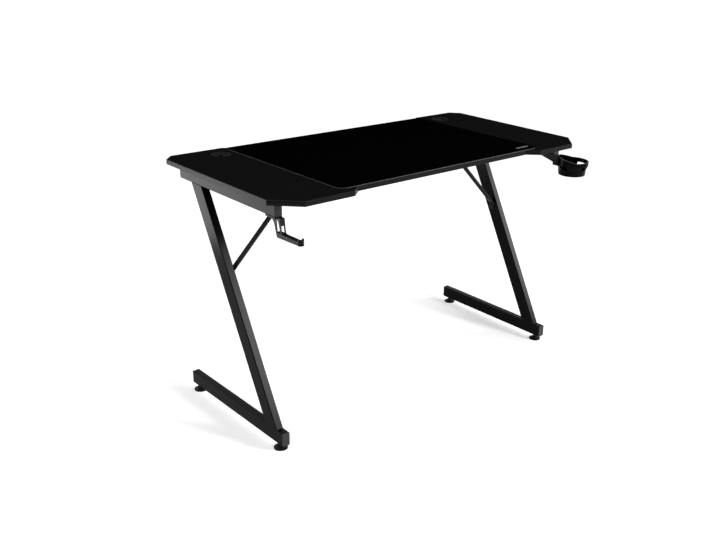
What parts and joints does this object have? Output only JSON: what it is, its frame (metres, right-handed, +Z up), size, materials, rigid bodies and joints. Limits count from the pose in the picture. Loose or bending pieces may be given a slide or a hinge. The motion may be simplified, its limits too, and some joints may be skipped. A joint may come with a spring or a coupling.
{
  "type": "gaming desk",
  "caption": "Black gaming desk on Z-shaped steel frames, with a full-depth mouse mat, cable grommets, levelling feet, a headset hook on the left and an open cup holder on the right.",
  "frame": {"origin": "on the floor under the middle of the desk's whole box, cup holder and hook included", "axes": "+X to the sitter's right along the width, +Y to the rear, +Z up; the sitter's edge is at -Y"},
  "size_m": [1.2542, 0.6234, 0.744],
  "materials": {
    "board_laminate": "black carbon-look laminate on particle board",
    "edge_band": "black edge band, fine grain",
    "mat_cloth": "black woven mat cloth on a rubber base",
    "frame_paint": "black powder coat, fine texture",
    "black_plastic": "moulded black plastic, satin",
    "gloss_plastic": "moulded black plastic, gloss",
    "foot_plastic": "moulded black plastic foot",
    "zinc_steel": "zinc-plated steel",
    "black_steel": "black oxide steel",
    "brass": "plain brass"
  },
  "bodies": {
    "desk": {"brace_bolts": "black_steel", "cross_beam": "frame_paint", "cross_bolts": "black_steel", "cup_holder": "gloss_plastic", "cup_holder_screws": "black_steel", "edge_band": "edge_band", "headset_hook": "black_plastic", "hook_screws": "black_steel", "left_beam_caps": "black_plastic", "left_brace": "frame_paint", "left_cross_plate": "frame_paint", "left_foot_beam": "frame_paint", "left_foot_caps": "black_plastic", "left_grommet_sleeve": "black_plastic", "left_leg": "frame_paint", "left_top_beam": "frame_paint", "leveller_nuts": "zinc_steel", "mouse_mat": "mat_cloth", "right_beam_caps": "black_plastic", "right_brace": "frame_paint", "right_cross_plate": "frame_paint", "right_foot_beam": "frame_paint", "right_foot_caps": "black_plastic", "right_grommet_sleeve": "black_plastic", "right_leg": "frame_paint", "right_top_beam": "frame_paint", "table_top": "board_laminate", "top_bolts": "black_steel", "top_inserts": "brass", "weld_nuts": "zinc_steel"},
    "front_left_leveller": {"front_left_leveller_pad": "foot_plastic", "front_left_leveller_stud": "zinc_steel"},
    "rear_left_leveller": {"rear_left_leveller_pad": "foot_plastic", "rear_left_leveller_stud": "zinc_steel"},
    "front_right_leveller": {"front_right_leveller_pad": "foot_plastic", "front_right_leveller_stud": "zinc_steel"},
    "rear_right_leveller": {"rear_right_leveller_pad": "foot_plastic", "rear_right_leveller_stud": "zinc_steel"},
    "left_cable_cap": {"left_grommet_cap": "black_plastic"},
    "right_cable_cap": {"right_grommet_cap": "black_plastic"}
  },
  "joints": [
    {"name": "front_left_leveller_screw", "type": "slide", "parent": "desk", "child": "front_left_leveller", "axis": [0, 0, 1], "range_m": [-0.014, 0.006]},
    {"name": "rear_left_leveller_screw", "type": "slide", "parent": "desk", "child": "rear_left_leveller", "axis": [0, 0, 1], "range_m": [-0.014, 0.006]},
    {"name": "front_right_leveller_screw", "type": "slide", "parent": "desk", "child": "front_right_leveller", "axis": [0, 0, 1], "range_m": [-0.014, 0.006]},
    {"name": "rear_right_leveller_screw", "type": "slide", "parent": "desk", "child": "rear_right_leveller", "axis": [0, 0, 1], "range_m": [-0.014, 0.006]},
    {"name": "left_cable_cap_turn", "type": "hinge", "parent": "desk", "child": "left_cable_cap", "pos_m": [-0.47513, 0.23775, 0.742], "axis": [0, 0, 1], "continuous": true},
    {"name": "right_cable_cap_turn", "type": "hinge", "parent": "desk", "child": "right_cable_cap", "pos_m": [0.42087, 0.23775, 0.742], "axis": [0, 0, 1], "continuous": true}
  ]
}
